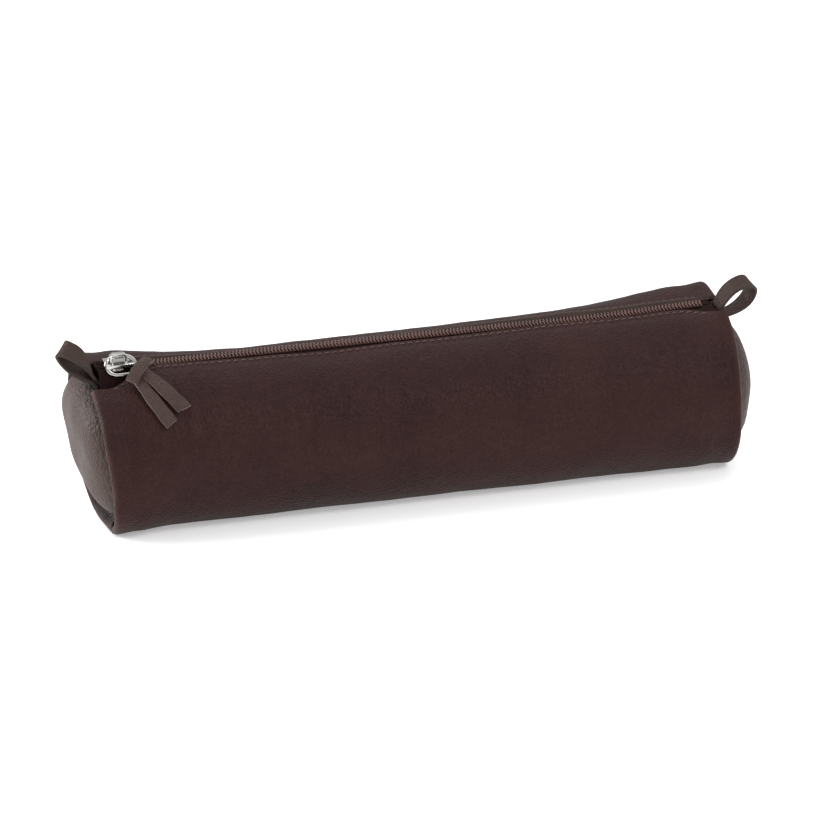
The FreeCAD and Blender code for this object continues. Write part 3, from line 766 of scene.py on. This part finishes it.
def make_topstitch(name, side, stretch, body, node):
    stitch = new_stitch(2.0 * MM, 0.42 * MM)
    count = int(2 * topstitch_half / stitch_pitch)
    low, high = tape_runs(stretch)
    places = []
    for k in range(count):
        s = (k - (count - 1) / 2) * stitch_pitch
        if not low <= s < high:
            continue
        angle = mouth_angle(np.array([s]), -side)[0] - side * stitch_row / tube_radius
        spot = wrap_surface(np.array([s]), np.array([angle]), -0.10 * MM)
        lean = Matrix.Rotation(float(angle), 4, "X")
        slant = Matrix.Rotation(math.radians(5 + 2.5 * math.sin(k * 2.4)), 4, "Z")
        places.append(Matrix.Translation([float(v[0]) for v in spot]) @ lean @ slant)
    piece = copies_of(stitch, places, name)
    piece.data.materials.append(stitch_thread)
    shade_smooth(piece, 80)
    hinge_zip(piece, body, stretch)
    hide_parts(node)


for stretch, place_name in stretch_names.items():
    make_topstitch(f"front_stitches_{place_name}", -1, stretch, "front_mouth", "front_topstitch")
    make_topstitch(f"back_stitches_{place_name}", 1, stretch, "back_mouth", "back_topstitch")


def make_end_seam(name, side, node):
    stitch = new_stitch(2.3 * MM, 0.5 * MM)
    full = half_length - lip_bend + flap - 0.4 * MM
    places = []
    for k in range(seam_stitches):
        angle = 2 * math.pi * (k + 0.5) / seam_stitches
        turned = angle if angle < math.pi else angle - 2 * math.pi
        if abs(turned - zip_lean) < seam_skip:
            continue
        spot = wrap_surface(np.array([side * full]), np.array([turned]), 0.15 * MM)
        x, y, z = (float(v[0]) for v in spot)
        across = Matrix.Rotation(turned, 4, "X") @ Matrix.Rotation(side * math.radians(-68), 4, "Y")
        places.append(Matrix.Translation((x + side * 0.35 * MM, y, z)) @ across
                      @ Matrix.Rotation(math.radians(24), 4, "Z"))
    piece = copies_of(stitch, places, name)
    piece.data.materials.append(stitch_thread)
    shade_smooth(piece, 80)
    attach(piece, "root")
    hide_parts(node)


make_end_seam("left_seam_thread", -1, "left_seam_stitches")
make_end_seam("right_seam_thread", 1, "right_seam_stitches")


# ------------------------------------------------------------------ slider and pull ring
# A cast zinc slider, tumbled smooth and nickel plated, with an oval wire ring through its bridge.
def plate_finish():
    finish = Finish("bright_nickel")
    place = finish.place()
    smear = finish.noise(place, 500.0, 4.0, 0.6)
    pits = finish.noise(place, 2400.0, 2.0, 0.5)
    return finish.set(Base_Color=(0.50, 0.49, 0.475, 1), Metallic=1.0, Roughness=0.09 + smear * 0.12,
                      Normal=finish.bump(pits, 0.02 * MM, 0.35))


bright_nickel = plate_finish()
slider_seat = zip_out * float(zip_sink(0.0)) * 0.95
tumbled_edge = 0.36 * MM


def make_slider():
    source = frame["nodes"]["slider_body"]
    piece = source.copy()
    piece.data = source.data.copy()
    piece.parent = None
    piece.name = "slider_casting"
    bpy.context.scene.collection.objects.link(piece)
    piece.data.transform(Matrix.Translation(slider_seat) @ source.matrix_world)
    piece.matrix_world = Matrix.Identity(4)
    start_from_nothing()
    piece.select_set(True)
    bpy.context.view_layer.objects.active = piece
    bpy.ops.object.mode_set(mode="EDIT")
    bpy.ops.mesh.select_all(action="SELECT")
    bpy.ops.mesh.remove_doubles(threshold=0.002 * MM)
    bpy.ops.mesh.dissolve_limited(angle_limit=math.radians(1))
    bpy.ops.object.mode_set(mode="OBJECT")
    soften = piece.modifiers.new("tumbled", "BEVEL")
    soften.width = tumbled_edge
    soften.segments = 4
    soften.limit_method = "ANGLE"
    soften.angle_limit = math.radians(30)
    piece.data.materials.clear()
    piece.data.materials.append(bright_nickel)
    apply_all(piece)
    shade_smooth(piece, 40)
    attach(piece, "slider")
    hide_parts("slider_body")


make_slider()

ring_pivot = Vector(joints["ring_lift"]["pos_m"])
strap_pivot = Vector(joints["strap_swing"]["pos_m"])
ring_wire = 0.7 * MM
ring_bend = 3.35 * MM
ring_fall = 2.8 * MM
ring_hang = math.radians(40)
ring_slip = Vector((-4.3 * MM, 0, 0.3 * MM))


def make_ring():
    start_from_nothing()
    bpy.ops.mesh.primitive_torus_add(major_segments=72, minor_segments=18,
                                     major_radius=ring_bend, minor_radius=ring_wire)
    piece = bpy.context.object
    piece.name = "pull_ring_wire"
    reach = strap_pivot.x - ring_pivot.x
    points = read_points(piece)
    straight = reach - 2 * ring_bend
    far_half = points[:, 0] > 1e-6
    points[:, 0] = np.where(far_half, points[:, 0] + straight, points[:, 0]) + ring_bend
    points[:, 1] -= ring_fall
    write_points(piece, points)
    hang = Matrix.Rotation(zip_lean + ring_hang, 4, "X")
    piece.data.transform(Matrix.Translation(ring_pivot + slider_seat + ring_slip) @ hang)
    piece.data.materials.append(bright_nickel)
    shade_smooth(piece, 60)
    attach(piece, "ring")
    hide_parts("pull_ring")


make_ring()


# ------------------------------------------------------------------ leather pull
# A thong of split leather with raw cut edges, passed through the ring and hitched over itself:
# the band crosses on top and the two tails come out below it and lie down the front.
thong_face = leather_finish("thong_leather", (0.017, 0.0080, 0.0070, 1), (0.052, 0.0290, 0.0255, 1),
                            (0.12, 0.078, 0.066, 1), 0.46, grain=1.8, gloss=0.22)
thong_edge = suede_finish("thong_edge", (0.09, 0.055, 0.046, 1), (0.26, 0.19, 0.165, 1))
thong_thick = 0.95 * MM
upper_tail = [(-3.4, 9.0, 1.8), (-1.6, 11.8, 1.8), (2.4, 17.6, 1.2), (7.0, 24.2, 1.3)]
lower_tail = [(-5.6, 11.4, 1.5), (-4.8, 14.6, 1.4), (-2.2, 20.9, 1.0), (2.0, 28.6, 1.2)]
band = [(-0.4, 4.6, 0.8), (-0.6, 4.4, 2.6), (-2.6, 6.4, 3.9), (-5.8, 9.8, 3.9), (-8.4, 12.8, 2.8)]
bight = [(-5.0, 6.6, 0.8), (-5.1, 6.9, 2.2), (-4.0, 8.2, 2.7), (-3.0, 10.2, 2.0), (-2.8, 11.4, 1.0)]


def through(points, count):
    """A smooth line of many points through a few, evenly spread."""
    points = np.array(points, float)
    padded = np.vstack([2 * points[0] - points[1], points, 2 * points[-1] - points[-2]])
    line = []
    for k in range(len(points) - 1):
        a, b, c, d = padded[k:k + 4]
        for t in np.linspace(0, 1, 24, endpoint=False):
            line.append(0.5 * (2 * b + (c - a) * t + (2 * a - 5 * b + 4 * c - d) * t ** 2
                               + (3 * b - a - 3 * c + d) * t ** 3))
    line.append(points[-1])
    line = np.array(line)
    steps = np.concatenate([[0], np.cumsum(np.linalg.norm(np.diff(line, axis=0), axis=1))])
    even = np.linspace(0, steps[-1], count)
    return np.column_stack([np.interp(even, steps, line[:, axis]) for axis in range(3)])


def make_ribbon(name, middle, sideways, width, thickness, faces, crown=0.0, cut=0.0):
    """A flat strip of leather along a line; sideways gives its width's direction at every point."""
    count = len(middle)
    rows = 8
    piece = new_grid(name, count - 1, rows)
    flat = read_points(piece)
    step = np.rint((flat[:, 0] + 1) / 2 * (count - 1)).astype(int)
    across = flat[:, 1]
    ahead = np.gradient(middle, axis=0)
    ahead = ahead / np.linalg.norm(ahead, axis=1)[:, None]
    sideways = sideways - ahead * np.sum(sideways * ahead, axis=1)[:, None]
    sideways = sideways / np.linalg.norm(sideways, axis=1)[:, None]
    face = np.cross(ahead, sideways)
    half = width / 2 * (1 + 0.03 * np.sin(step * 0.31))
    half = half * (0.86 + 0.14 * ramp(step / count, 0.1, 0.6))
    points = middle[step] + sideways[step] * (across * half)[:, None]
    points = points + face[step] * (crown * (1 - across ** 2))[:, None]
    end = (step == count - 1)
    points = points + ahead[step] * (end * across * cut)[:, None]
    write_points(piece, points)
    thick = piece.modifiers.new("leather", "SOLIDIFY")
    thick.thickness = thickness
    thick.offset = 0.0
    thick.material_offset_rim = 1
    for finish in faces:
        piece.data.materials.append(finish)
    apply_all(piece)
    mark(piece, "rubbed", 0.25 * np.ones(len(piece.data.vertices)))
    soften = piece.modifiers.new("edges", "BEVEL")
    soften.width = 0.12 * MM
    soften.segments = 2
    soften.limit_method = "ANGLE"
    soften.angle_limit = math.radians(40)
    apply_all(piece)
    turn_outward(piece)
    shade_smooth(piece, 50)
    return piece


def on_front(x, drop, lift):
    """A point over the front: along from the ring's end, down round the leather by drop, raised by lift."""
    angle = zip_lean + drop * MM / tube_radius
    place = wrap_surface(np.array([strap_pivot.x + x * MM]), np.array([angle]), -lift * MM)
    return np.array([float(v[0]) for v in place])


def make_strip(name, route, width, count, crown=0.15, cut=0.0):
    """One strip of the pull, laid over the front of the case through a few stops."""
    middle = through([on_front(*stop) for stop in route], count)
    out = middle * (0, 1, 1) - (0, 0, axis_height)
    sideways = np.cross(out, np.gradient(middle, axis=0))
    return make_ribbon(name, middle, sideways, width * MM, thong_thick, (thong_face, thong_edge),
                       crown * MM, cut * MM)


def make_pull():
    strips = [
        make_strip("upper_tail", upper_tail, 4.7, 52, cut=0.5),
        make_strip("lower_tail", lower_tail, 4.4, 56, cut=-0.3),
        make_strip("band", band, 3.9, 52, 0.25),
        make_strip("bight", bight, 4.2, 40, 0.1),
    ]
    start_from_nothing()
    for strip in strips:
        strip.select_set(True)
    bpy.context.view_layer.objects.active = strips[0]
    bpy.ops.object.join()
    pull = bpy.context.object
    pull.name = "leather_pull"
    pull.data.name = "leather_pull"
    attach(pull, "strap")
    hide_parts("pull_strap")


make_pull()


# ------------------------------------------------------------------ hanging loops
# A strip of the same leather folded in two at each end of the zip, both tails caught in the seam.
loop_face = leather_finish("loop_leather", (0.020, 0.0095, 0.0080, 1), (0.046, 0.026, 0.021, 1),
                           (0.075, 0.047, 0.038, 1), 0.48, grain=1.3, gloss=0.2)
loop_edge = suede_finish("loop_edge", (0.018, 0.012, 0.010, 1), (0.040, 0.027, 0.022, 1))


def make_loop(name, node, side, lean, reach, half_width, twist, width):
    body = name.replace("_strip", "")
    foot = Vector(joints[body + "_flop"]["pos_m"]) + Vector((side * 0.9 * MM, 0, -4.6 * MM))
    turns = np.linspace(0.0, 2 * math.pi, 84)
    across = np.sin(turns) * np.sin(turns / 2) ** 1.3
    across = across / across.max() * half_width
    in_seam = np.exp(-(np.sin(turns / 2) / 0.16) ** 2)
    height = reach * (1 - np.cos(turns)) / 2 - 2.2 * MM * in_seam
    grip = 0.55 * MM * np.cos(turns / 2)
    across = across + grip
    out = np.array(zip_out)
    along = np.array([1.0, 0.0, 0.0])
    depth = np.array(zip_across)
    up = out * math.cos(lean) + along * side * math.sin(lean)
    over = along * math.cos(lean) - out * side * math.sin(lean)
    swirl = np.clip(height / reach, 0, 1)
    turned = twist * swirl
    wide = over[None, :] * np.cos(turned)[:, None] + depth[None, :] * np.sin(turned)[:, None]
    deep = depth[None, :] * np.cos(turned)[:, None] - over[None, :] * np.sin(turned)[:, None]
    middle = np.array(foot)[None, :] + up[None, :] * height[:, None] + wide * across[:, None]
    piece = make_ribbon(name, middle, deep, width, 1.05 * MM, (loop_face, loop_edge), 0.12 * MM)
    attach(piece, body)
    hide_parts(node)


make_loop("left_loop_strip", "loop_left", -1, lean=math.radians(40), reach=15.4 * MM,
          half_width=2.5 * MM, twist=math.radians(-56), width=6.4 * MM)
make_loop("right_loop_strip", "loop_right", 1, lean=math.radians(50), reach=16.0 * MM,
          half_width=4.6 * MM, twist=math.radians(30), width=6.0 * MM)
